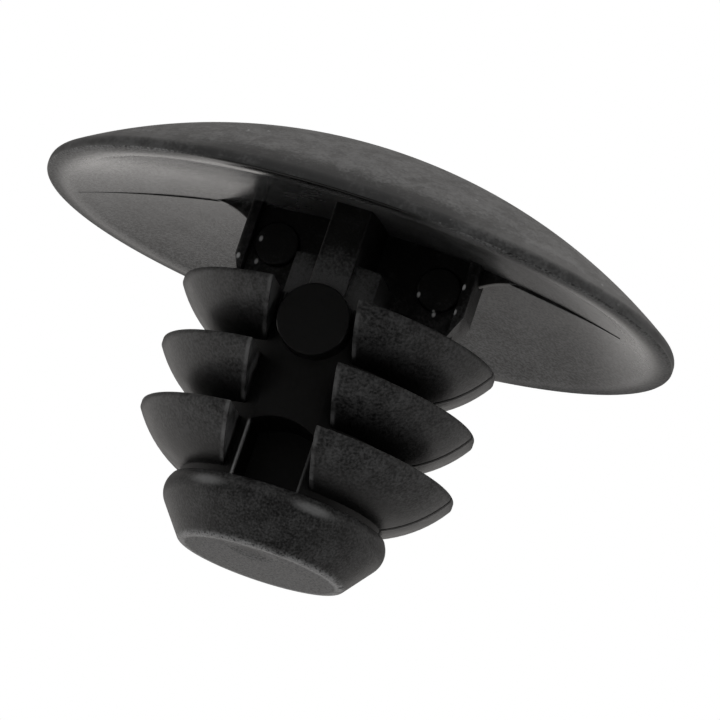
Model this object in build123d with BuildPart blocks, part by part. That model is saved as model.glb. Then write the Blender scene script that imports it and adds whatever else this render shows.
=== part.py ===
# Push-in plug for a round hole in a panel, moulded in one piece of black nylon.
# The domed head covers the hole. Three rows of half-moon barbs on the shank squeeze through
# it and spring out behind the panel.
#
# Frame, in millimetres: Z is the axis of the shank, and z = 0 is the flat ring of the head
# that seats on the panel. X runs along the parting plane of the mould. -Y is the front,
# where the ejector pushes on a round boss.

import os
from math import sqrt

from build123d import *

# Head: a spherical dome over a shallow spherical dish, with a flat ring round the dish. The poles
# of its spheres are tipped off the head and off its planes of symmetry.
head_radius = 12.5
dome_rise = 4.4
rim_height = 0.3
rim_bevel = 0.13
seat_width = 0.9
dish_depth = 1.7
pole_tilt = 80

# Body of the shank, bare between the barbs
body_radius = 4.0

# Barbs: half-moons either side of a channel that runs down the front and the back
barb_count = 3
barb_radius = 6.2
barb_pitch = 2.53
barb_drop = 2.26
barb_land = 0.2
barb_height = 2.0
barb_flank = 4.7
barb_bevel = 0.1
channel_width = 3.4

# Recess in the floor of the channel, from an arched ledge down to the tip
recess_width = 2.56
recess_depth = 2.4
ledge_drop = 7.35
ledge_arch = 0.35

# Tip: a button that leads the plug into the hole
tip_length = 11.9
tip_top_drop = 9.6
tip_belly_drop = 10.3
tip_radius = 4.5
tip_shoulder = 4.2
tip_flank = 12.0
tip_face_radius = 3.25
tip_bevel = 0.2
gate_radius = 0.95
gate_depth = 0.12
gate_offset = 1.95

# Collar between the head and the first barb: a thin web in the parting plane, with a flange
# down each end that leaves a pocket in each quarter, and a gusset from each flange to the dish
web_thickness = 0.6
flange_reach = 4.62
flange_thickness = 0.42
flange_width = 1.8
flange_drop = 0.7
flange_taper = 0.95
flange_round = 0.12
gusset_reach = 1.55
gusset_drop = 0.7
gusset_thickness = 0.36

# Rib on the front and the back, and the ejector's boss at the foot of the front one
rib_width = 1.45
rib_reach = 4.3
rib_round = 0.1
boss_radius = 1.4
boss_drop = 3.22
boss_reach = 4.8
boss_bevel = 0.06
saddle_drop = 0.6

# Round pads in the pockets
pad_radius = 0.88
pad_stand = 0.25
pad_rise = 0.13
pad_spread = 3.27
pad_bevel = 0.12

# Worked out from the sizes above
dome_height = dome_rise - rim_height
dome_sphere = (head_radius**2 + dome_height**2) / (2 * dome_height)
dish_radius = head_radius - seat_width
dish_sphere = (dish_radius**2 + dish_depth**2) / (2 * dish_depth)
barb_tops = [-barb_drop - barb_pitch * row for row in range(barb_count)]
flange_inside = flange_reach - flange_thickness
root_height = (dish_depth + dome_rise) / 2


def dish_height(radius):
    """Height of the dish above the seat, at that distance from the axis."""
    return dish_depth - dish_sphere + sqrt(dish_sphere**2 - radius**2)


# Head: a blank taller than the dome, with a bevelled rim, domed above and dished below
with BuildPart() as head:
    Cylinder(head_radius, 2 * dome_rise, align=(Align.CENTER, Align.CENTER, Align.MIN))
    chamfer(head.edges().group_by(Axis.Z)[0], length=rim_bevel)
    with Locations((0, 0, dome_rise - dome_sphere)):
        Sphere(dome_sphere, rotation=(pole_tilt, 0, 0), mode=Mode.INTERSECT)
    with Locations((0, 0, dish_depth - dish_sphere)):
        Sphere(dish_sphere, rotation=(pole_tilt, 0, 0), mode=Mode.SUBTRACT)

# Barbs: flat on top and round below, so that they pass the hole one way only
with BuildPart() as barbs:
    for top in barb_tops:
        with BuildSketch(Plane.XZ):
            with BuildLine():
                land_foot = (barb_radius, top - barb_land)
                flank_foot = (body_radius, top - barb_height)
                Polyline(flank_foot, (0, top - barb_height), (0, top), (barb_radius - barb_bevel, top),
                         (barb_radius, top - barb_bevel), land_foot)
                RadiusArc(land_foot, flank_foot, barb_flank)
            make_face()
        revolve(axis=Axis.Z)
    with BuildSketch(Plane.XY.offset(barb_tops[-1] - barb_height)):
        Rectangle(channel_width, 2 * barb_radius)
    extrude(amount=barb_tops[0] - barb_tops[-1] + barb_height, mode=Mode.SUBTRACT)

# Tip: a shoulder, a belly and a cone down to a flat face with the mark of the gate
with BuildPart() as tip:
    with BuildSketch(Plane.XZ):
        shoulder = (tip_shoulder, -tip_top_drop)
        belly = (tip_radius, -tip_belly_drop)
        face_edge = (tip_face_radius, -tip_length)
        with BuildLine():
            Polyline(face_edge, (0, -tip_length), (0, -tip_top_drop), shoulder)
            TangentArc(belly, shoulder, tangent=(0, 1))
            RadiusArc(belly, face_edge, tip_flank)
        make_face()
    revolve(axis=Axis.Z)
    chamfer(tip.edges().group_by(Axis.Z)[0], length=tip_bevel)

with BuildPart() as gate:
    gate_sphere = (gate_radius**2 + gate_depth**2) / (2 * gate_depth)
    with Locations((0, -gate_offset, -tip_length - gate_sphere + gate_depth)):
        Sphere(gate_sphere)

# Shank: the body with its barbs, the two recesses and the tip
with BuildPart() as shank:
    with BuildSketch(Plane.XY.offset(-tip_top_drop)):
        Circle(body_radius)
    extrude(amount=tip_top_drop + barb_tops[0])
    add(barbs.part)
    for side in (-1, 1):
        with BuildSketch(Plane.XZ.offset(side * body_radius)):
            with BuildLine():
                left, right = (-recess_width / 2, -ledge_drop), (recess_width / 2, -ledge_drop)
                Polyline(right, (recess_width / 2, -tip_top_drop), (-recess_width / 2, -tip_top_drop), left)
                ThreePointArc(left, (0, ledge_arch - ledge_drop), right)
            make_face()
        extrude(amount=-side * recess_depth, mode=Mode.SUBTRACT)
    add(tip.part)
    add(gate.part, mode=Mode.SUBTRACT)

# Collar: the web, and a tapered flange and a gusset at each of its ends
with BuildPart() as collar:
    with BuildSketch(Plane.XY.offset(barb_tops[0])):
        Rectangle(2 * flange_inside, web_thickness)
    extrude(amount=root_height - barb_tops[0])
    with BuildSketch(Plane.XZ):
        with BuildLine():
            Polyline((flange_inside, root_height), (flange_reach, root_height), (flange_reach, -flange_drop),
                     (flange_inside, -flange_drop - flange_taper), close=True)
        make_face()
        mirror(about=Plane.YZ)
    extrude(amount=flange_width / 2, both=True)
    upright_edges = collar.edges().filter_by(Axis.Z)
    fillet(upright_edges.filter_by(lambda edge: abs(edge.center().X) > flange_inside), radius=flange_round)
    with BuildSketch(Plane.XZ):
        gusset_end = flange_reach + gusset_reach
        gusset_top = (gusset_end, dish_height(gusset_end))
        gusset_foot = (flange_reach, dish_height(flange_reach) - gusset_drop)
        with BuildLine():
            Polyline(gusset_foot, (flange_inside, gusset_foot[1]), (flange_inside, root_height),
                     (gusset_end, root_height), gusset_top)
            TangentArc(gusset_top, gusset_foot, tangent=(-1, 0))
        make_face()
        mirror(about=Plane.YZ)
    extrude(amount=gusset_thickness / 2, both=True)

# Saddle: the body carried up between the pockets, to the foot of the ribs
with BuildPart() as saddle:
    with BuildSketch(Plane.XY.offset(barb_tops[0])):
        Circle(body_radius)
        Rectangle(channel_width, 2 * body_radius, mode=Mode.INTERSECT)
    extrude(amount=-barb_tops[0] - saddle_drop)

with BuildPart() as rib:
    with BuildSketch(Plane.XY.offset(-boss_drop)):
        RectangleRounded(rib_width, 2 * rib_reach, rib_round)
    extrude(amount=root_height + boss_drop)

with BuildPart() as boss:
    with BuildSketch(Plane.XZ):
        with Locations((0, -boss_drop)):
            Circle(boss_radius)
    extrude(amount=boss_reach)
    chamfer(boss.edges().group_by(Axis.Y)[0], length=boss_bevel)

with BuildPart() as pads:
    with BuildSketch(Plane.XZ):
        with Locations((-pad_spread, pad_rise), (pad_spread, pad_rise)):
            Circle(pad_radius)
    extrude(amount=web_thickness / 2 + pad_stand, both=True)
    chamfer(pads.edges().filter_by(GeomType.CIRCLE), length=pad_bevel)

with BuildPart() as hole_plug:
    for piece in (head, shank, collar, saddle, rib, boss, pads):
        add(piece.part)

hole_plug.part.label = "hole_plug"
os.makedirs("parts", exist_ok=True)
export_step(hole_plug.part, "parts/hole_plug.step")
print("hole_plug", round(hole_plug.part.volume, 1), "mm3", len(hole_plug.part.solids()), "solid")
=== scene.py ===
import math

import bmesh
import bpy
from mathutils import Matrix, Vector


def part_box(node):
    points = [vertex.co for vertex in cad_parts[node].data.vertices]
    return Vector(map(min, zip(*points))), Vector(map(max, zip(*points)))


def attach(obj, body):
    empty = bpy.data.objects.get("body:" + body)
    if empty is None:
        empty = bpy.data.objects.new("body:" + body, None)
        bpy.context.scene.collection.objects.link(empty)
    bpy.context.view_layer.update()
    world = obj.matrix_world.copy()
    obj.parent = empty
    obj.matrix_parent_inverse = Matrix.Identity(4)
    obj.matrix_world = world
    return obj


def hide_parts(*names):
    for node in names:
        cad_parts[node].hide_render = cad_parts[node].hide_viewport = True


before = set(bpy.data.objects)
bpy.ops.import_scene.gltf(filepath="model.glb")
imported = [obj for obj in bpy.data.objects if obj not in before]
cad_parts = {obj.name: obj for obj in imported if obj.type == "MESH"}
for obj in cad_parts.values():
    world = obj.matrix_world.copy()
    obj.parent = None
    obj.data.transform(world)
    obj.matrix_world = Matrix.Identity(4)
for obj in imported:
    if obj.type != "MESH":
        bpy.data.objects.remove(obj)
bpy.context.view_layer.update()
plugLow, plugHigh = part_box("hole_plug")

# The plug is built in millimetres and brought to metres at the end. The studio is in metres.
millimetre = 0.001
near = 0.01  # a vertex as close as this to a place counts as on it
headRadius = plugHigh.x / millimetre
domeRise = plugHigh.z / millimetre
tipLength = -plugLow.z / millimetre

scene = bpy.context.scene
scene.view_settings.view_transform = "Standard"

cameraLook = {
    "distance": 357.0,  # from the middle of the seat
    "below": 12.4,  # degrees under the plane of the seat
    "turn": 12.8,  # degrees round to the right of the front
    "roll": 18.7,  # degrees, so that the plug leans to the right
    "frameWidth": 27.33,  # what the picture spans at the plug
    "aimAcross": 0.065,  # the middle of the picture, from the middle of the seat
    "aimDown": 3.288,
    "sensor": 36.0,
    "nearest": 0.01,  # metres
    "farthest": 20.0,
}


def makeCamera(look):
    below, turn, roll = (math.radians(look[key]) for key in ("below", "turn", "roll"))
    flat = math.cos(below)
    toCamera = Vector((flat * math.sin(turn), -flat * math.cos(turn), -math.sin(below)))
    level = Vector((math.cos(turn), math.sin(turn), 0.0))
    upright = toCamera.cross(level)
    right = level * math.cos(roll) + upright * math.sin(roll)
    up = upright * math.cos(roll) - level * math.sin(roll)
    place = toCamera * look["distance"]
    aim = right * look["aimAcross"] - up * look["aimDown"]
    back = (place - aim).normalized()
    right = up.cross(back).normalized()
    up = back.cross(right)
    data = bpy.data.cameras.new("camera")
    data.sensor_width = look["sensor"]
    data.lens = look["sensor"] * look["distance"] / look["frameWidth"]
    data.clip_start = look["nearest"]
    data.clip_end = look["farthest"]
    camera = bpy.data.objects.new("camera", data)
    camera.matrix_world = Matrix((
        (right.x, up.x, back.x, place.x * millimetre),
        (right.y, up.y, back.y, place.y * millimetre),
        (right.z, up.z, back.z, place.z * millimetre),
        (0, 0, 0, 1)))
    scene.collection.objects.link(camera)
    scene.camera = camera


makeCamera(cameraLook)
print("camera made")


class Wire:
    # a socket of a node tree: maths on it adds the nodes
    def __init__(self, tree, socket=None):
        self.tree = tree
        self.socket = socket

    def node(self, kind, settings=None, inputs=None, output=0):
        made = self.tree.nodes.new(kind)
        for name, value in (settings or {}).items():
            if name == "stops":
                setStops(made.color_ramp, value)
            else:
                setattr(made, name, value)
        for name, value in (inputs or {}).items():
            if isinstance(value, Wire):
                self.tree.links.new(value.socket, made.inputs[name])
            else:
                made.inputs[name].default_value = value
        return Wire(self.tree, None if output is None else made.outputs[output])

    def maths(self, operation, first, second=0.0):
        return self.node("ShaderNodeMath", {"operation": operation}, {0: first, 1: second})

    def __add__(self, other):
        return self.maths("ADD", self, other)

    def __radd__(self, other):
        return self.maths("ADD", other, self)

    def __sub__(self, other):
        return self.maths("SUBTRACT", self, other)

    def __rsub__(self, other):
        return self.maths("SUBTRACT", other, self)

    def __mul__(self, other):
        return self.maths("MULTIPLY", self, other)

    def __rmul__(self, other):
        return self.maths("MULTIPLY", other, self)

    def __pow__(self, other):
        return self.maths("POWER", self, other)

    def __abs__(self):
        return self.maths("ABSOLUTE", self)

    def __neg__(self):
        return self.maths("MULTIPLY", self, -1.0)

    def sine(self):
        return self.maths("SINE", self)

    def swing(self, width):
        # a value from 0 to 1, spread as wide as this about zero
        return (self - 0.5) * width

    def between(self, low, high, first=0.0, last=1.0):
        # a smooth step from first to last as the value goes from low to high
        values = {"Value": self, "From Min": low, "From Max": high, "To Min": first, "To Max": last}
        return self.node("ShaderNodeMapRange", {"interpolation_type": "SMOOTHSTEP"}, values)

    def ramp(self, stops):
        return self.node("ShaderNodeValToRGB", {"stops": stops}, {"Fac": self})

    def parts(self):
        made = self.tree.nodes.new("ShaderNodeSeparateXYZ")
        self.tree.links.new(self.socket, made.inputs[0])
        return [Wire(self.tree, output) for output in made.outputs]

    def scaled(self, factor):
        return self.node("ShaderNodeVectorMath", {"operation": "SCALE"}, {0: self, "Scale": factor})

    def stretched(self, x, y, z):
        return self.node("ShaderNodeVectorMath", {"operation": "MULTIPLY"}, {0: self, 1: (x, y, z)})

    def noise(self, size, detail=2.0, rough=0.5):
        values = {"Vector": self, "Scale": 1 / size, "Detail": detail, "Roughness": rough}
        return self.node("ShaderNodeTexNoise", {}, values)

    def cells(self, size, feature="F1"):
        return self.node("ShaderNodeTexVoronoi", {"feature": feature}, {"Vector": self, "Scale": 1 / size})

    def mixed(self, first, second):
        # a colour between two, by this value
        return self.node("ShaderNodeMix", {"data_type": "RGBA"}, {0: self, 6: first, 7: second}, output=2)

    def bump(self, depth, strength=1.0, under=None):
        # depth is in millimetres, as the height is a number from 0 to 1
        values = {"Height": self, "Distance": depth * millimetre, "Strength": strength}
        if under:
            values["Normal"] = under
        return self.node("ShaderNodeBump", {}, values)


def setStops(ramp, stops):
    ramp.interpolation = "LINEAR"
    while len(ramp.elements) < len(stops):
        ramp.elements.new(0.5)
    for element, (place, level) in zip(ramp.elements, stops):
        element.position = place
        element.color = (level, level, level, 1)


def objectFrom(name, mesh):
    made = bpy.data.objects.new(name, mesh)
    scene.collection.objects.link(made)
    return made


def finishMesh(name, shape):
    bmesh.ops.recalc_face_normals(shape, faces=shape.faces)
    mesh = bpy.data.meshes.new(name)
    shape.to_mesh(mesh)
    shape.free()
    return objectFrom(name, mesh)


def arc(start, end, radius, steps):
    # points from start to end, both left out, on an arc that bulges to the left of the way
    a, b = Vector(start), Vector(end)
    half = (b - a) / 2
    side = Vector((-half.y, half.x)).normalized()
    centre = a + half - side * math.sqrt(radius**2 - half.length_squared)
    spoke = a - centre
    sweep = spoke.angle_signed(b - centre)
    points = []
    for step in range(1, steps):
        spun = Matrix.Rotation(-sweep * step / steps, 2) @ spoke
        points.append(tuple(centre + spun))
    return points


def rounded(points, radii, steps=5):
    # the same closed outline, with an arc at each corner that has a radius
    made = []
    count = len(points)
    for at, (point, radius) in enumerate(zip(points, radii)):
        if not radius:
            made.append(point)
            continue
        corner = Vector(point)
        before = (Vector(points[at - 1]) - corner).normalized()
        after = (Vector(points[(at + 1) % count]) - corner).normalized()
        half = before.angle(after) / 2
        middle = corner + (before + after).normalized() * radius / math.sin(half)
        first = corner + before * radius / math.tan(half)
        last = corner + after * radius / math.tan(half)
        turn = (first - middle).angle_signed(last - middle)
        for step in range(steps + 1):
            made.append(tuple(middle + Matrix.Rotation(-turn * step / steps, 2) @ (first - middle)))
    return made


def lathe(name, outline, steps=192):
    # turns an outline about Z: one that meets the axis is open there, and any other is closed
    shape = bmesh.new()
    onAxis = [abs(radius) < 1e-9 for radius, height in outline]
    rings = []
    for (radius, height), single in zip(outline, onAxis):
        if single:
            rings.append([shape.verts.new((0, 0, height))])
            continue
        turns = [math.tau * step / steps for step in range(steps)]
        rings.append([shape.verts.new((radius * math.cos(a), radius * math.sin(a), height)) for a in turns])
    pairs = list(zip(rings, rings[1:]))
    if not any(onAxis):
        pairs.append((rings[-1], rings[0]))
    for low, high in pairs:
        for step in range(steps):
            after = (step + 1) % steps
            corners = []
            for ring, at in ((low, step), (low, after), (high, after), (high, step)):
                vertex = ring[at % len(ring)]
                if vertex not in corners:
                    corners.append(vertex)
            if len(corners) > 2:
                shape.faces.new(corners)
    return finishMesh(name, shape)


def slab(name, outline, low, high, upright="Z"):
    # a flat outline, given a thickness along one axis
    shape = bmesh.new()
    places = {
        "X": lambda a, b, c: (c, a, b),
        "Y": lambda a, b, c: (a, c, b),
        "Z": lambda a, b, c: (a, b, c),
    }[upright]
    floor = [shape.verts.new(places(a, b, low)) for a, b in outline]
    roof = [shape.verts.new(places(a, b, high)) for a, b in outline]
    shape.faces.new(floor)
    shape.faces.new(roof)
    for at in range(len(outline)):
        after = (at + 1) % len(outline)
        shape.faces.new((floor[at], floor[after], roof[after], roof[at]))
    return finishMesh(name, shape)


def boxAt(name, x, y, z):
    return slab(name, [(x[0], y[0]), (x[1], y[0]), (x[1], y[1]), (x[0], y[1])], z[0], z[1])


sharpAngle = 35


def softenEdges(piece, width, angle=sharpAngle, segments=3, only=None):
    # rounds the sharp outside edges of a piece, or only those that pass a test
    shape = bmesh.new()
    shape.from_mesh(piece.data)
    bmesh.ops.remove_doubles(shape, verts=shape.verts, dist=1e-4)
    sharp = [
        edge for edge in shape.edges
        if edge.is_manifold and edge.calc_face_angle(0) > math.radians(angle) and edge.is_convex
        and (only is None or only(edge))]
    bmesh.ops.bevel(
        shape, geom=sharp, offset=width, segments=segments, profile=0.5, affect="EDGES",
        clamp_overlap=True)
    shape.to_mesh(piece.data)
    shape.free()
    return piece


def applied(piece):
    # the piece with its modifiers worked into a plain mesh
    result = bpy.data.meshes.new_from_object(piece.evaluated_get(bpy.context.evaluated_depsgraph_get()))
    piece.modifiers.clear()
    piece.data = result
    return piece


def combine(piece, others, operation):
    group = bpy.data.collections.new("cutters")
    scene.collection.children.link(group)
    for other in others:
        group.objects.link(other)
    change = piece.modifiers.new("combine", "BOOLEAN")
    change.operand_type = "COLLECTION"
    change.collection = group
    change.operation = operation
    change.solver = "MANIFOLD"
    applied(piece)
    for other in others:
        bpy.data.objects.remove(other)
    bpy.data.collections.remove(group)
    return piece


head = {
    "rimHeight": 0.42,
    "rimRound": 0.32,
    "seatRound": 0.14,
    "seatWidth": 0.9,
    "dishDepth": 1.7,
    "rings": 40,
}


def arcRadius(half, rise):
    # of the arc, or the sphere, that rises so much over half its width
    return (half**2 + rise**2) / (2 * rise)


def capHeight(radius, edge, rise):
    # height of a spherical cap above its edge
    sphere = arcRadius(edge, rise)
    return rise - sphere + math.sqrt(sphere**2 - radius**2)


dishRadius = headRadius - head["seatWidth"]
dishSphere = arcRadius(dishRadius, head["dishDepth"])


def dishHeight(radius):
    return capHeight(radius, dishRadius, head["dishDepth"])


def makeHead(size):
    rim = size["rimHeight"]
    ringsAt = [step / size["rings"] for step in range(size["rings"])]
    dome = []
    for at in ringsAt:
        radius = headRadius * at
        dome.append((radius, rim + capHeight(radius, headRadius, domeRise - rim)))
    dish = [(dishRadius * at, dishHeight(dishRadius * at)) for at in reversed(ringsAt)]
    corners = [dome[-1], (headRadius, rim), (headRadius, 0), (dishRadius, 0), dish[0]]
    edge = rounded(corners, [0, size["rimRound"], size["seatRound"], 0, 0])
    return lathe("head", dome[:-1] + edge[:-1] + dish)


shank = {
    "bodyRadius": 4.0,
    "bodyRoot": 0.5,  # how far what stands on the body runs down into it
    "barbDrop": 2.26,
    "channelWidth": 3.4,
    "recessWidth": 2.56,
    "recessFloor": 1.6,
    "recessRound": 0.07,
    "ledgeDrop": 7.35,
    "ledgeArch": 0.35,
    "ledgeSteps": 12,
    "sunk": 0.2,  # how far the body runs into the tip
}

tip = {
    "topDrop": 9.6,
    "bellyDrop": 10.22,
    "radius": 4.54,
    "shoulder": 4.2,
    "faceRadius": 3.25,
    "shoulderRound": 0.12,
    "bellyRound": 0.85,
    "faceRound": 0.25,
    "roundSteps": 10,
    "gateRadius": 0.95,
    "gateDepth": 0.12,
    "gateOffset": 1.95,
    "gateSteps": 256,
    "nickRadius": 0.11,  # a small nick on the edge of the face
    "nickReach": 3.27,
    "nickRise": 0.04,
    "nickSteps": 24,
}


def makeBody(size):
    drop, foot, radius = size["barbDrop"], tip["topDrop"] + size["sunk"], size["bodyRadius"]
    body = lathe("body", [(0, -drop), (radius, -drop), (radius, -foot), (0, -foot)])
    half = size["recessWidth"] / 2
    sag = size["ledgeArch"]
    cutters = []
    for side in (-1, 1):
        outline = [(half, -tip["topDrop"]), (-half, -tip["topDrop"]), (-half, -size["ledgeDrop"])]
        corner = (half, -size["ledgeDrop"])
        outline += arc(outline[-1], corner, arcRadius(half, sag), size["ledgeSteps"])
        outline.append(corner)
        low, high = sorted((side * size["recessFloor"], side * (radius + 1)))
        cutters.append(slab("recess", outline, low, high, "Y"))
    body = combine(body, cutters, "DIFFERENCE")
    return softenEdges(body, size["recessRound"], only=lambda edge: onRecessEdge(edge, size))


def onRecessEdge(edge, size):
    # the edges where the recess meets the round of the body
    for vert in edge.verts:
        inHeight = -tip["topDrop"] + near < vert.co.z < -size["barbDrop"] - near
        inWidth = abs(vert.co.x) < size["recessWidth"] / 2 + near
        onRound = abs(vert.co.to_2d().length - size["bodyRadius"]) < 2 * near
        if not (inHeight and inWidth and onRound):
            return False
    return True


def makeTip(size):
    corners = [(0, -size["topDrop"]), (size["shoulder"], -size["topDrop"])]
    corners += [(size["radius"], -size["bellyDrop"]), (size["faceRadius"], -tipLength), (0, -tipLength)]
    radii = [0, size["shoulderRound"], size["bellyRound"], size["faceRound"], 0]
    made = lathe("tip", rounded(corners, radii, size["roundSteps"]))
    sphere = arcRadius(size["gateRadius"], size["gateDepth"])
    middle = (0, -size["gateOffset"], -tipLength - sphere + size["gateDepth"])
    gate = ballAt("gate", sphere, middle, size["gateSteps"])
    middle = (size["nickReach"], 0, -tipLength + size["nickRise"])
    nick = ballAt("nick", size["nickRadius"], middle, size["nickSteps"])
    return combine(made, [gate, nick], "DIFFERENCE")


def ballAt(name, radius, place, steps):
    shape = bmesh.new()
    bmesh.ops.create_uvsphere(shape, u_segments=steps, v_segments=steps, radius=radius)
    bmesh.ops.transform(shape, matrix=Matrix.Translation(place), verts=shape.verts)
    return finishMesh(name, shape)


barb = {
    "rows": 3,
    "pitch": 2.53,
    "radius": 6.2,
    "land": 0.2,
    "height": 2.0,
    "flank": 4.7,
    "rimRound": 0.1,
    "endRound": 0.22,
    "root": 3.0,  # the radius that it starts from, inside the body
    "shown": 3.5,  # rounding starts out here, still inside the body
    "flankSteps": 10,
}


def makeBarb(size):
    # one half-moon on the right, with its top at z = 0
    foot = (size["radius"], -size["land"])
    flankFoot = (shank["bodyRadius"], -size["height"])
    outline = [(size["root"], 0), (size["radius"], 0), foot]
    outline += arc(foot, flankFoot, size["flank"], size["flankSteps"])
    outline += [flankFoot, (size["root"], -size["height"])]
    moon = lathe("barb", outline)
    across = shank["channelWidth"] / 2
    shape = bmesh.new()
    shape.from_mesh(moon.data)
    cut = bmesh.ops.bisect_plane(
        shape, geom=shape.verts[:] + shape.edges[:] + shape.faces[:], dist=1e-6,
        plane_co=(across, 0, 0), plane_no=(1, 0, 0), clear_inner=True)
    rim = [edge for edge in cut["geom_cut"] if isinstance(edge, bmesh.types.BMEdge)]
    bmesh.ops.holes_fill(shape, edges=rim, sides=0)
    bmesh.ops.recalc_face_normals(shape, faces=shape.faces)
    shape.to_mesh(moon.data)
    shape.free()
    softenEdges(moon, size["endRound"], segments=5, only=lambda edge: isBarbEnd(edge, across))
    return softenEdges(moon, size["rimRound"], only=lambda edge: isShown(edge, size["shown"]))


def isShown(edge, radius):
    return edge.verts[0].co.to_2d().length > radius


def isBarbEnd(edge, across):
    # the upright corner between a barb's flank and the channel
    a, b = (vert.co for vert in edge.verts)
    outside = min(a.to_2d().length, b.to_2d().length) > shank["bodyRadius"] - near
    onCut = abs(a.x - across) < near and abs(b.x - across) < near
    return outside and onCut and abs(a.z - b.z) > near


def newTree(name, inputs):
    # a tree of geometry nodes: gives a wire to add nodes with, and one from each of its named inputs
    tree = bpy.data.node_groups.new(name, "GeometryNodeTree")
    for title, kind in inputs:
        tree.interface.new_socket(title, in_out="INPUT", socket_type="NodeSocket" + kind)
    tree.interface.new_socket("Geometry", in_out="OUTPUT", socket_type="NodeSocketGeometry")
    inside = tree.nodes.new("NodeGroupInput")
    return Wire(tree), {title: Wire(tree, inside.outputs[title]) for title, kind in inputs}


def endTree(bench, shape, material):
    # the last nodes of every tree: real geometry, with its material
    real = bench.node("GeometryNodeRealizeInstances", {}, {0: shape})
    painted = bench.node("GeometryNodeSetMaterial", {}, {"Geometry": real, "Material": material})
    bench.node("NodeGroupOutput", {}, {0: painted}, output=None)


def grown(piece, tree, values):
    # the piece after a tree has worked on it, as a plain mesh
    change = piece.modifiers.new("grow", "NODES")
    change.node_group = tree
    for socket in tree.interface.items_tree:
        if socket.in_out == "INPUT" and socket.name in values:
            change[socket.identifier] = values[socket.name]
    return applied(piece)


def repeatBarbs(moon, size):
    # rows of the half-moon down the shank, and the same rows turned half round for the other side
    bench, given = newTree("barbRows", [
        ("Geometry", "Geometry"), ("Rows", "Int"), ("Pitch", "Float"), ("First Drop", "Float"),
        ("Material", "Material")])
    step = bench.node("ShaderNodeCombineXYZ", {}, {"Z": -given["Pitch"]})
    start = bench.node("ShaderNodeCombineXYZ", {}, {"Z": -given["First Drop"]})
    line = bench.node("GeometryNodeMeshLine", {"mode": "OFFSET"}, {
        "Count": given["Rows"], "Offset": step, "Start Location": start})
    both = bench.node("GeometryNodeJoinGeometry")
    for turn in (0, math.pi):
        row = bench.node("GeometryNodeInstanceOnPoints", {}, {
            "Points": line, "Instance": given["Geometry"], "Rotation": (0, 0, turn)})
        bench.tree.links.new(row.socket, both.socket.node.inputs[0])
    endTree(bench, both, given["Material"])
    return grown(moon, bench.tree, {
        "Rows": size["rows"], "Pitch": size["pitch"], "First Drop": shank["barbDrop"],
        "Material": finishes["shank"]})


flash = {
    "inner": 5.0,
    "leftOuter": 11.4,  # it nearly meets the rim on the left, and fades out before it on the right
    "rightOuter": 10.4,
    "leftRadius": 0.04,
    "rightRadius": 0.12,
    "taperFrom": 0.35,  # of the way out
    "taper": 0.8,
    "points": 36,
    "sides": 12,
}


def makeFlash(size):
    # the bead that the joint of the mould's halves left along the dish, from each gusset outward
    bench, given = newTree("flashBead", [
        ("Inner", "Float"), ("Outer", "Float"), ("Dish Sphere", "Float"), ("Dish Depth", "Float"),
        ("Bead Radius", "Float"), ("Points", "Int"), ("Material", "Material")])
    line = bench.node("GeometryNodeMeshLine", {"mode": "END_POINTS"}, {
        "Count": given["Points"],
        "Start Location": bench.node("ShaderNodeCombineXYZ", {}, {"X": given["Inner"]}),
        "Offset": bench.node("ShaderNodeCombineXYZ", {}, {"X": given["Outer"]})})
    x = bench.node("GeometryNodeInputPosition").parts()[0]
    sphere = given["Dish Sphere"]
    height = given["Dish Depth"] - sphere + (sphere * sphere - x * x)**0.5
    spot = bench.node("ShaderNodeCombineXYZ", {}, {"X": x, "Z": bench.maths("MAXIMUM", height, 0.0)})
    bent = bench.node("GeometryNodeSetPosition", {}, {"Geometry": line, "Position": spot})
    path = bench.node("GeometryNodeMeshToCurve", {}, {"Mesh": bent})
    along = bench.node("GeometryNodeSplineParameter")
    thin = given["Bead Radius"] * (1 - along.between(size["taperFrom"], 1.0) * size["taper"])
    ring = bench.node("GeometryNodeCurvePrimitiveCircle", {}, {
        "Resolution": size["sides"], "Radius": 1.0})
    bead = bench.node("GeometryNodeCurveToMesh", {}, {
        "Curve": path, "Profile Curve": ring, "Scale": thin, "Fill Caps": True})
    endTree(bench, bead, given["Material"])
    parts = []
    for side, name in ((-1, "left"), (1, "right")):
        made = grown(objectFrom("flash", bpy.data.meshes.new("flash")), bench.tree, {
            "Inner": side * size["inner"], "Outer": side * size[name + "Outer"],
            "Dish Sphere": dishSphere, "Dish Depth": head["dishDepth"],
            "Bead Radius": size[name + "Radius"], "Points": size["points"],
            "Material": finishes["dish"]})
        parts.append(made)
    return parts


collar = {
    "webThickness": 0.6,
    "flangeReach": 4.62,
    "flangeThickness": 0.42,
    "flangeWidth": 1.8,
    "flangeDrop": 0.7,
    "flangeTaper": 0.95,
    "flangeRound": 0.14,
    "gussetReach": 1.55,
    "gussetDrop": 0.7,
    "gussetThickness": 0.36,
    "edgeRound": 0.05,  # on the other edges of the flanges, and under the gussets
    "lap": 0.1,  # how far the web runs into the flanges
    "over": 0.3,  # how far a gusset runs on inside the head
    "slopeSteps": 12,
    "top": 2.6,  # everything on the shank is rooted this high in the head
}


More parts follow.
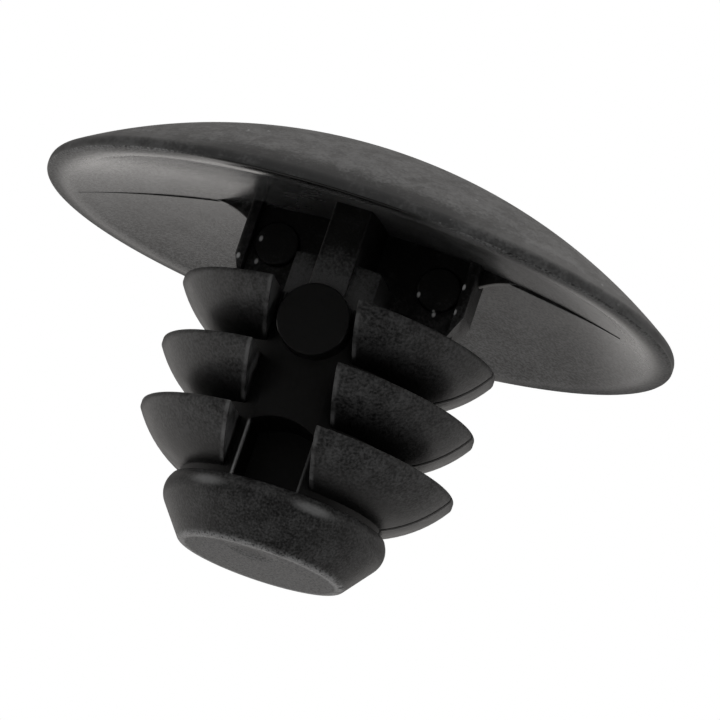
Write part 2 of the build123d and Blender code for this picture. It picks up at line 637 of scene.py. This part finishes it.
def makeCollar(size):
    # a web in the parting plane, and a tapered flange and a gusset at each end of it
    reach = size["flangeReach"]
    inside, half, top = reach - size["flangeThickness"], size["flangeWidth"] / 2, size["top"]
    thin = size["webThickness"] / 2
    foot = -shank["barbDrop"] - shank["bodyRoot"]
    body = shank["bodyRadius"] - 2 * near
    parts = [boxAt("web", (-body, body), (-thin, thin), (foot, top))]
    wide = inside + size["lap"]
    parts.append(boxAt("webEnds", (-wide, wide), (-thin, thin), (-shank["barbDrop"] - 2 * near, top)))
    end = reach + size["gussetReach"]
    gussetTop = (end, dishHeight(end))
    gussetFoot = (reach, dishHeight(reach) - size["gussetDrop"])
    across, down = gussetTop[0] - gussetFoot[0], gussetTop[1] - gussetFoot[1]
    slope = arc(gussetFoot, gussetTop, arcRadius(across, down), size["slopeSteps"])
    slope.reverse()
    for side in (-1, 1):
        flange = [(inside, top), (reach, top), (reach, -size["flangeDrop"])]
        flange.append((inside, -size["flangeDrop"] - size["flangeTaper"]))
        made = slab("flange", [(side * x, z) for x, z in flange], -half, half, "Y")
        made = softenEdges(made, size["flangeRound"], segments=4, only=lambda edge: isUpright(edge, reach))
        parts.append(softenEdges(made, size["edgeRound"], angle=50, only=lambda edge: isBelow(edge, top)))
        outline = [gussetFoot, (inside, gussetFoot[1]), (inside, top), (end + size["over"], top)]
        outline += [(end + size["over"], gussetTop[1]), gussetTop] + slope
        gusset = [(side * x, z) for x, z in outline]
        thick = size["gussetThickness"] / 2
        made = slab("gusset", gusset, -thick, thick, "Y")
        parts.append(softenEdges(made, size["edgeRound"], angle=50, only=lambda edge: isSlope(edge, reach)))
    return parts


def isUpright(edge, reach):
    # the outer corners of a flange
    a, b = (vert.co for vert in edge.verts)
    outer = abs(abs(a.x) - reach) < near and abs(abs(b.x) - reach) < near
    return outer and abs(a.z - b.z) > near


def isBelow(edge, top):
    return min(vert.co.z for vert in edge.verts) < top - near


def isSlope(edge, reach):
    # the two long edges under a gusset
    a, b = (vert.co for vert in edge.verts)
    low = max(a.z, b.z) < collar["top"] - near
    return low and min(abs(a.x), abs(b.x)) > reach - near and abs(a.y - b.y) < near


rib = {
    "width": 1.45,
    "reach": 4.3,
    "round": 0.1,
    "bossRadius": 1.4,
    "bossDrop": 3.22,
    "bossReach": 4.8,
    "bossRoot": 1.0,
    "bossRound": 0.07,
    "bossSteps": 96,
    "saddleDrop": 0.6,
    "saddleRound": 0.08,
    "saddleSteps": 24,
}


def makeRib(size):
    parts = []
    body = shank["bodyRadius"]
    across = shank["channelWidth"] / 2
    first = math.acos(across / body)
    sweep = math.pi - 2 * first
    turns = [first + sweep * step / size["saddleSteps"] for step in range(size["saddleSteps"] + 1)]
    front = [(body * math.cos(turn), body * math.sin(turn)) for turn in turns]
    outline = front + [(-x, -y) for x, y in front]
    saddle = slab("saddle", outline, -shank["barbDrop"] - shank["bodyRoot"], -size["saddleDrop"])
    roof = -size["saddleDrop"] - near
    parts.append(softenEdges(saddle, size["saddleRound"], only=lambda edge: edge.verts[0].co.z > roof))
    half, reach = size["width"] / 2, size["reach"]
    wall = boxAt("rib", (-half, half), (-reach, reach), (-size["bossDrop"], collar["top"]))
    parts.append(softenEdges(wall, size["round"], segments=4))
    outline = circle(size["bossRadius"], 0, -size["bossDrop"], size["bossSteps"])
    boss = slab("boss", outline, -size["bossReach"], -size["bossRoot"], "Y")
    face = -size["bossReach"] + near
    parts.append(softenEdges(boss, size["bossRound"], only=lambda edge: edge.verts[0].co.y < face))
    return parts


def circle(radius, x, z, steps):
    turns = [math.tau * step / steps for step in range(steps)]
    return [(x + radius * math.cos(turn), z + radius * math.sin(turn)) for turn in turns]


pad = {
    "radius": 0.88,
    "stand": 0.25,
    "rise": 0.13,
    "spread": 3.27,
    "round": 0.1,
    "steps": 64,
}


def makePads(size):
    parts = []
    reach = collar["webThickness"] / 2 + size["stand"]
    for side in (-1, 1):
        middle = side * size["spread"]
        outline = circle(size["radius"], middle, size["rise"], size["steps"])
        disc = slab("pad", outline, -reach, reach, "Y")
        parts.append(softenEdges(disc, size["round"], segments=4))
    return parts


def makePlug():
    rows = repeatBarbs(makeBarb(barb), barb)
    parts = [makeBody(shank), makeTip(tip), rows] + makeFlash(flash) + makeCollar(collar) + makeRib(rib)
    parts += makePads(pad)
    made = combine(makeHead(head), parts, "UNION")
    made.name = "plug"
    made.data.transform(Matrix.Scale(millimetre, 4))
    return made


refraction = 1.53  # of nylon


def newMaterial(name):
    # gives the material, its shader and the place on the plug in millimetres
    made = bpy.data.materials.new(name)
    made.use_nodes = True
    shader = made.node_tree.nodes["Principled BSDF"]
    here = Wire(made.node_tree).node("ShaderNodeTexCoord", output="Object").scaled(1 / millimetre)
    return made, shader, here


def finishShader(shader, colour, roughness, normal):
    # every finish is one black nylon: what differs is its colour, its gloss and its relief
    links = shader.id_data.links
    for name, value in (("Base Color", colour), ("Roughness", roughness), ("Normal", normal)):
        links.new(value.socket, shader.inputs[name])
    shader.inputs["IOR"].default_value = refraction


def grey(level):
    return (level, level, level, 1)


def shaded(amount, look):
    # the colour of a finish, between its darkest and its palest
    return amount.mixed(grey(look["black"]), grey(look["pale"]))


def speckled(grain, patches, look):
    # mostly the fine grain, and partly broad patches
    return grain.between(*look["grainEdges"]) * 0.7 + patches.between(*look["patchEdges"]) * 0.3


def fromAxis(x, y):
    return (x * x + y * y)**0.5


# In the finishes, a pair of numbers is where a smooth step begins and where it ends: in millimetres
# for a place, and from 0 to 1 for a noise.
domeFinish = {
    "black": 0.02,
    "pale": 0.078,
    "scuff": 0.22,
    "scuffShare": 0.6,
    "roughness": 0.52,
    "endRoughness": 0.36,  # glossier toward the right end
    "endAcross": (6.0, 11.0),
    "middle": 0.5,  # duller here on the rim, and darkened there by painted shade
    "middleAcross": (2.5, 7.5),
    "middleHeight": (0.5, 1.5),
    "middleRoughness": 0.25,
    "rimHeight": (0.5, 1.0),  # the grain starts over the rim, and under it the colour is darkened by painted shade
    "stretch": (1.0, 0.5, 1.0),
    "grainSize": 0.4,
    "grainEdges": (0.05, 0.65),
    "grainDepth": 0.09,
    "blotchSize": 0.75,
    "patchSize": 2.2,
    "patchRoughness": 0.16,
    "pitSize": 0.12,
    "pitDepth": 0.013,
    "pitRoughness": 0.14,
    "mottle": (0.36, 0.66),
    "streakStretch": (1.0, 0.3, 1.0),
    "streakSize": 0.42,
    "streaks": (0.7, 0.76),
    "streakPatches": (0.5, 0.6),
}


def makeDomeNylon(look):
    # a fine leathery grain, with a few pale scuffs, and painted shade over the middle and low on the rim
    made, shader, here = newMaterial("domeNylon")
    x, y, z = here.parts()
    drawn = here.stretched(*look["stretch"])
    grain = drawn.cells(look["grainSize"], "SMOOTH_F1").between(*look["grainEdges"])
    soft = drawn.noise(look["blotchSize"], detail=3.0, rough=0.55)
    pits = drawn.noise(look["pitSize"])
    patches = drawn.noise(look["patchSize"], detail=3.0)
    middle = 1 - abs(x - look["middle"]).between(*look["middleAcross"])
    middle = middle * (1 - z.between(*look["middleHeight"]))
    rim = 1 - z.between(*look["rimHeight"])
    # painted shade: the mottle is darker over the middle and low on the rim
    mottle = soft * 0.5 + patches * 0.1 + pits * 0.5 - grain * 0.05 - middle * 0.15
    mottle = mottle.between(*look["mottle"]) * (1 - rim * 0.5)
    streaks = here.stretched(*look["streakStretch"]).noise(look["streakSize"])
    streaks = streaks.between(*look["streaks"]) * patches.between(*look["streakPatches"])
    colour = (streaks * look["scuffShare"]).mixed(shaded(mottle, look), grey(look["scuff"]))
    outward = x.between(*look["endAcross"])
    roughness = look["roughness"] - outward * (look["roughness"] - look["endRoughness"])
    roughness = roughness + patches.swing(look["patchRoughness"]) + pits.swing(look["pitRoughness"])
    roughness = roughness + middle * look["middleRoughness"]
    relief = ((soft * 1.2 - grain * 0.3) * (1 - rim * 0.9)).bump(look["grainDepth"])
    finishShader(shader, colour, roughness, (pits * (1 - rim)).bump(look["pitDepth"], under=relief))
    return made


dishFinish = {
    "black": 0.002,
    "pale": 0.15,
    "glossy": 0.2,
    "dull": 0.5,
    "dullAcross": (-7.0, 5.0),
    "endGain": 0.23,  # glossier again at the right end
    "endAcross": (7.5, 11.0),
    "ringRoughness": 0.35,  # duller on the flat ring of the seat
    "seatGloss": 0.43,  # but polished at its front and back, and painted black there as painted dark reflection
    "seatAcross": (3.0, 6.5),
    "sheenAcross": (-7.0, 0.0),  # painted sheen: palest at the front left
    "sheenAlong": (-5.0, 0.0),
    "sheenlessShare": 0.55,
    "waveSize": 0.8,
    "waveDepth": 0.016,
    "waveRoughness": 0.1,
    "patchSize": 1.7,
    "patchEdges": (0.35, 0.65),
    "patchRoughness": 0.12,
    "grainSize": 0.11,
    "grainEdges": (0.36, 0.64),
    "grainDepth": 0.0035,
    "scratch": 0.12,
    "scratchShare": 0.4,
    "scratchRoughness": 0.12,
    "scratchStretch": (0.35, 2.6, 1.0),
    "scratchSize": 0.5,
    "scratches": (0.66, 0.7),
    "scratchAcross": (5.0, 8.0),
}


def makeDishNylon(look):
    # polished where the mould was, and duller to the right, with a painted sheen at the front left and
    # painted dark reflection on the seat
    made, shader, here = newMaterial("dishNylon")
    x, y, z = here.parts()
    radius = fromAxis(x, y)
    angle = y.maths("ARCTAN2", y, x)
    around = here.node("ShaderNodeCombineXYZ", {}, {"X": radius, "Y": angle * 1.3, "Z": abs(y) * 0.05})
    waves = around.noise(look["waveSize"], detail=3.0, rough=0.55)
    grain = here.noise(look["grainSize"], rough=0.6)
    patches = here.noise(look["patchSize"], detail=4.0, rough=0.6)
    scratches = here.stretched(*look["scratchStretch"]).noise(look["scratchSize"], detail=3.0)
    scratches = scratches.between(*look["scratches"]) * x.between(*look["scratchAcross"])
    side = (x * 0.92 + y * 0.38).between(*look["dullAcross"])
    roughness = look["glossy"] + side * (look["dull"] - look["glossy"])
    roughness = roughness - x.between(*look["endAcross"]) * look["endGain"]
    roughness = roughness + patches.swing(look["patchRoughness"]) + waves.swing(look["waveRoughness"])
    roughness = roughness + scratches * look["scratchRoughness"]
    ring = radius.between(dishRadius - 0.05, headRadius - 0.1)
    seat = ring * (1 - abs(x).between(*look["seatAcross"]))
    roughness = roughness + ring * look["ringRoughness"] - seat * look["seatGloss"]
    # painted sheen: the colour is palest at the front left
    paintedSheen = (1 - x.between(*look["sheenAcross"])) * (1 - y.between(*look["sheenAlong"]))
    paintedSheen = look["sheenlessShare"] + paintedSheen * (1 - look["sheenlessShare"])
    # painted dark reflection: black on the seat at its front and back
    lit = speckled(grain, patches, look) * paintedSheen * (1 - seat)
    colour = (scratches * look["scratchShare"]).mixed(shaded(lit, look), grey(look["scratch"]))
    relief = waves.bump(look["waveDepth"])
    finishShader(shader, colour, roughness, grain.bump(look["grainDepth"], under=relief))
    return made


pocketFinish = {
    "black": 0.001,
    "pale": 0.045,
    "lit": (0.52, 0.82),
    "lowHeight": (-2.4, 0.6),  # painted light: palest low down, in the middle and at the outer ends
    "outerAcross": (3.4, 4.6),
    "middleAcross": (1.2, 2.4),
    "glint": 0.45,
    "paintedGlints": [
        (-3.9, 0.15), (-3.85, -0.7), (-4.45, -0.8),
        (4.25, 0.4), (4.22, -0.62), (2.6, -0.28), (3.35, -0.8)],  # painted glints: across and up, on the front
    "glintSize": 0.15,
    "glintFlatness": 2.5,
    "front": (-0.2, 0.2),
    "roughness": 0.4,
    "patchSize": 0.9,
    "patchRoughness": 0.2,
    "grainSize": 0.11,
    "grainDepth": 0.02,
}


def makePocketNylon(look):
    # spark-eroded mould walls: coarse and almost black, with painted light low down in the middle and at
    # the outer ends, and a few small painted glints
    made, shader, here = newMaterial("pocketNylon")
    x, y, z = here.parts()
    coarse = here.noise(look["grainSize"], detail=4.0, rough=0.65)
    patches = here.noise(look["patchSize"], detail=3.0)
    low = 1 - z.between(*look["lowHeight"])
    outer = abs(x).between(*look["outerAcross"])
    middle = 1 - abs(x).between(*look["middleAcross"])
    # painted light: paler low down in the middle and at the outer ends
    lit = coarse * 0.7 + patches * 0.3 + low * (0.2 + middle * 0.17) + outer * 0.04
    colour = shaded(lit.between(*look["lit"]), look)
    # painted glints: small bright spots on the front
    glinted = 0.0
    for across, height in look["paintedGlints"]:
        aside, above = x - across, z - height
        away = (aside * aside * look["glintFlatness"] + above * above)**0.5
        glinted = (1 - away.between(look["glintSize"] * 0.4, look["glintSize"])) + glinted
    colour = (glinted * (1 - y.between(*look["front"]))).mixed(colour, grey(look["glint"]))
    roughness = look["roughness"] + patches.swing(look["patchRoughness"])
    finishShader(shader, colour, roughness, coarse.bump(look["grainDepth"]))
    return made


shankFinish = {
    "black": 0.0015,
    "pale": 0.045,
    "dark": 0.05,  # what is left of the light close to the body
    "clear": (0.3, 1.8),  # out from the round of the body
    "roughness": 0.4,
    "patchSize": 0.8,
    "patchEdges": (0.4, 0.7),
    "patchRoughness": 0.2,
    "grainSize": 0.11,
    "grainEdges": (0.3, 0.7),
    "grainDepth": 0.008,
    "waveSize": 1.2,
    "waveDepth": 0.02,
    "partingWidth": 0.2,
    "partingDepth": 0.09,
    "partingRoughness": 0.2,
    "barbs": (0.05, 0.5),  # out from the round of the body
    # pale wear and painted highlight along the channel corners of the barbs
    "wearAndHighlight": 0.07,
    "highlightPatches": (0.3, 0.7),
    "highlightInset": 0.06,  # from the sharp corner that the round one replaces
    "highlightHalf": (0.04, 0.15),
    "recessHighlight": 0.13,  # painted highlight along the edge of the recess
    "brightInset": 0.02,
    "brightHalf": (0.02, 0.09),
    "brightTop": (-0.15, 0.05),  # from the ledge
    "brightRound": (-0.3, -0.12),  # from the round of the body
    "brightRight": 0.7,  # how much weaker it is on the right
}


def makeShankNylon(look):
    # satin, with pale wear and painted highlights along the corners of the barbs, a painted highlight on
    # the edge of the recess, and painted shade close to the body
    made, shader, here = newMaterial("shankNylon")
    x, y, z = here.parts()
    outward = fromAxis(x, y) - shank["bodyRadius"]
    parting = 1 - abs(y).between(look["partingWidth"] * 0.3, look["partingWidth"])
    outside = outward.between(*look["barbs"])
    corner = abs(abs(x) - shank["channelWidth"] / 2 - look["highlightInset"])
    corner = 1 - corner.between(*look["highlightHalf"])
    recess = abs(abs(x) - shank["recessWidth"] / 2 - look["brightInset"])
    recess = 1 - recess.between(*look["brightHalf"])
    recess = recess * (1 - (z + shank["ledgeDrop"]).between(*look["brightTop"]))
    recess = recess * (1 - x.between(-0.5, 0.5) * look["brightRight"])
    recess = recess * outward.between(*look["brightRound"])
    waves = here.noise(look["waveSize"])
    grain = here.noise(look["grainSize"], detail=3.0, rough=0.6)
    patches = here.noise(look["patchSize"], detail=4.0, rough=0.6)
    # painted shade: darker close to the body
    clear = look["dark"] + outward.between(*look["clear"]) * (1 - look["dark"])
    colour = shaded(speckled(grain, patches, look) * clear, look)
    # pale wear and painted highlight on the channel corners of the barbs
    corner = corner * outside * patches.between(*look["highlightPatches"])
    colour = corner.mixed(colour, grey(look["wearAndHighlight"]))
    # painted highlight along the edge of the recess
    colour = (recess * (1 - outside)).mixed(colour, grey(look["recessHighlight"]))
    colour = (parting * outside).mixed(colour, grey(look["black"]))
    roughness = look["roughness"] + patches.swing(look["patchRoughness"])
    roughness = roughness + parting * look["partingRoughness"]
    relief = waves.bump(look["waveDepth"])
    relief = parting.bump(look["partingDepth"], under=relief)
    finishShader(shader, colour, roughness, grain.bump(look["grainDepth"], under=relief))
    return made


tipFinish = {
    "black": 0.003,
    "pale": 0.045,
    "lit": (0.3, 0.68),
    "roughness": 0.42,
    "faceRoughness": 0.6,
    "faceDepth": 0.25,
    "edgeRoughness": 0.26,
    "edgeInset": 0.1,
    "edgeHalf": (0.05, 0.25),
    # pale worn speckle on the end face, and painted highlights on its edge and on the belly
    "wearAndHighlight": 0.16,
    "wornFace": 0.6,
    "wornGrain": (0.3, 0.6),
    "highlightPatches": (0.3, 0.55),
    "bellyHighlights": [-2.1, 2.1],  # painted highlights: across, on the front of the belly
    "bellyHighlightDrop": 10.02,
    "bellyHighlightSize": (0.05, 0.3),
    "bellyHighlightShape": 0.3,  # height over length
    "bellyHighlightFront": (-3.5, -1.5),
    "bellyHighlightShare": 0.5,
    "patchSize": 0.9,
    "patchRoughness": 0.14,
    "grainSize": 0.09,
    "grainDepth": 0.012,
    "ringPitch": 0.32,
    "ringDepth": 0.002,
}


def makeTipNylon(look):
    # satin, with the faint turning rings of the mould on its end, pale worn speckle there, and painted
    # highlights on the edge of the face and the front of the belly
    made, shader, here = newMaterial("tipNylon")
    x, y, z = here.parts()
    end = 1 - z.between(-tipLength, -tipLength + look["faceDepth"])
    radius = fromAxis(x, y)
    rings = (radius * (math.tau / look["ringPitch"])).sine() * 0.5 + 0.5
    edge = 1 - abs(radius - tip["faceRadius"] + look["edgeInset"]).between(*look["edgeHalf"])
    grain = here.noise(look["grainSize"], detail=3.0, rough=0.6)
    patches = here.noise(look["patchSize"], detail=4.0, rough=0.6)
    colour = shaded((grain * 0.6 + patches * 0.3).between(*look["lit"]), look)
    # painted highlights on the front of the belly
    for across in look["bellyHighlights"]:
        aside, above = (x - across) * look["bellyHighlightShape"], z + look["bellyHighlightDrop"]
        away = (aside**2.0 + above**2.0)**0.5
        patch = 1 - away.between(*look["bellyHighlightSize"])
        patch = patch * (1 - y.between(*look["bellyHighlightFront"]))
        colour = (patch * look["bellyHighlightShare"]).mixed(colour, grey(look["wearAndHighlight"]))
    # pale worn speckle on the end face, and a painted highlight along its edge
    wearAndHighlight = end * look["wornFace"] + edge * patches.between(*look["highlightPatches"])
    wearAndHighlight = grain.between(*look["wornGrain"]) * wearAndHighlight
    colour = wearAndHighlight.mixed(colour, grey(look["wearAndHighlight"]))
    roughness = look["roughness"] + end * (look["faceRoughness"] - look["roughness"])
    roughness = roughness + patches.swing(look["patchRoughness"])
    roughness = roughness - edge * (look["roughness"] - look["edgeRoughness"])
    relief = (rings * end).bump(look["ringDepth"])
    finishShader(shader, colour, roughness, grain.bump(look["grainDepth"], under=relief))
    return made


bossFinish = {
    "black": 0.001,
    "pale": 0.007,
    "roughness": 0.3,
    "grainSize": 0.12,
    "grainDepth": 0.001,
    "grainRoughness": 0.1,
}


def makeBossNylon(look):
    # the polished end of the ejector
    made, shader, here = newMaterial("bossNylon")
    grain = here.noise(look["grainSize"])
    roughness = look["roughness"] + grain.swing(look["grainRoughness"])
    finishShader(shader, shaded(grain, look), roughness, grain.bump(look["grainDepth"]))
    return made


finishes = {
    "dome": makeDomeNylon(domeFinish),
    "dish": makeDishNylon(dishFinish),
    "pocket": makePocketNylon(pocketFinish),
    "shank": makeShankNylon(shankFinish),
    "tip": makeTipNylon(tipFinish),
    "boss": makeBossNylon(bossFinish),
}
print("finishes made")


finishBounds = {
    "dome": 0.3,  # a face so far over the dish is on the dome
    "dish": 0.15,  # and one so close to it, facing down, is in the dish
    "dishFacing": -0.9,
    "seat": 0.06,
    "seatFacing": -0.7,
    "tip": 0.05,
}


def finishOf(place, normal, bounds):
    # the finish of a face, from where it lies and which way it faces
    radius = place.to_2d().length
    height = place.z
    dish = dishHeight(radius)
    if radius > dishRadius or height > dish + bounds["dome"]:
        under = normal.z < bounds["seatFacing"] and height < head["rimHeight"]
        return "dish" if height < bounds["seat"] or under else "dome"
    if abs(height - dish) < bounds["dish"] and normal.z < bounds["dishFacing"]:
        return "dish"
    onShoulder = height < -tip["topDrop"] + near and radius > shank["bodyRadius"] - bounds["tip"]
    if onShoulder or height < -tip["bellyDrop"]:
        return "tip"
    bossTop, bossFoot = rib["bossRadius"] - rib["bossDrop"], -rib["bossRadius"] - rib["bossDrop"]
    inFront = place.y < -shank["bodyRadius"] and abs(place.x) < rib["bossRadius"]
    if inFront and height < bossTop:
        return "boss" if height > bossFoot else "shank"
    return "pocket" if height > -shank["barbDrop"] + near else "shank"


def dress(piece):
    names = list(finishes)
    piece.data.materials.clear()
    for name in names:
        piece.data.materials.append(finishes[name])
    for face in piece.data.polygons:
        face.use_smooth = True
        face.material_index = names.index(finishOf(face.center / millimetre, face.normal, finishBounds))
    piece.data.set_sharp_from_angle(angle=math.radians(sharpAngle))
    weights = piece.modifiers.new("weights", "WEIGHTED_NORMAL")
    weights.keep_sharp = True


plug = makePlug()
dress(plug)
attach(plug, "root")
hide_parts("hole_plug")
print("plug made", len(plug.data.polygons), "faces")


studio = {
    "floorDrop": 0.1,
    "floorThickness": 0.01,
    "floorSize": 6.0,
    "floorColour": (0.8, 0.8, 0.8, 1),
    "worldLight": 1.0,
    "screenRadius": 10.0,
    "screenSegments": 96,
    # how much light comes through the screen, from straight below (0) to straight above (1)
    "screenLevels": [
        (0.0, 0.22), (0.25, 0.6), (0.41, 0.6), (0.455, 0.95), (0.482, 0.95), (0.496, 0.25),
        (0.62, 0.24), (0.78, 0.36), (0.92, 0.8)],
    # in front, what is left of that at the level of the plug and under it; the steps that follow
    # are shares of the radius
    "screenFront": 0.2,
    "screenAhead": (-0.6, 0.1),
    "screenOver": (0.45, 0.8),
    # under the level of the plug it is clearer on the left than on the right
    "screenLeft": 1.0,
    "screenRight": 0.44,
    "screenAside": (-0.6, 0.5),
    "screenBelow": (-0.15, 0.1),
    "screenTint": (1.0, 0.97, 0.945, 1),  # the light is faintly warm
}


def makeFloor(look):
    size = look["floorSize"] / 2
    corners = [(-size, -size), (size, -size), (size, size), (-size, size)]
    top = -look["floorDrop"]
    floor = slab("floor", corners, top - look["floorThickness"], top)
    paint = bpy.data.materials.new("paleFloor")
    paint.use_nodes = True
    paint.node_tree.nodes["Principled BSDF"].inputs["Base Color"].default_value = look["floorColour"]
    floor.data.materials.append(paint)
    floor.visible_glossy = False
    floor.visible_shadow = False


def makeScreen(look):
    # a grey screen all round that the camera looks through: the plug's gloss shows how it is lit
    shape = bmesh.new()
    segments, radius = look["screenSegments"], look["screenRadius"]
    bmesh.ops.create_uvsphere(shape, u_segments=segments, v_segments=segments // 2, radius=radius)
    screen = finishMesh("screen", shape)
    screen.visible_camera = False
    screen.visible_diffuse = False
    cloth = bpy.data.materials.new("greyScreen")
    cloth.use_nodes = True
    cloth.node_tree.nodes.clear()
    here = Wire(cloth.node_tree)
    x, y, z = here.node("ShaderNodeTexCoord", output="Object").scaled(1 / radius).parts()
    level = (z * 0.5 + 0.5).ramp(look["screenLevels"])
    below = 1 - z.between(*look["screenBelow"])
    aside = (x * 0.9 - y * 0.3).between(*look["screenAside"], look["screenLeft"], look["screenRight"])
    ahead = (1 - y.between(*look["screenAhead"])) * (1 - z.between(*look["screenOver"]))
    clearness = level * (1 - below * (1 - aside)) * (1 - ahead * (1 - look["screenFront"]))
    black = here.node("ShaderNodeBsdfDiffuse", {}, {"Color": grey(0.0)})
    clear = here.node("ShaderNodeBsdfTransparent", {}, {"Color": look["screenTint"]})
    mix = here.node("ShaderNodeMixShader", {}, {0: clearness, 1: black, 2: clear})
    here.node("ShaderNodeOutputMaterial", {}, {"Surface": mix}, output=None)
    screen.data.materials.append(cloth)


makeFloor(studio)
makeScreen(studio)

world = bpy.data.worlds.new("studio")
scene.world = world
world.use_nodes = True
sky = world.node_tree.nodes["Background"].inputs
sky["Color"].default_value = grey(1)
sky["Strength"].default_value = studio["worldLight"]
print("studio made")
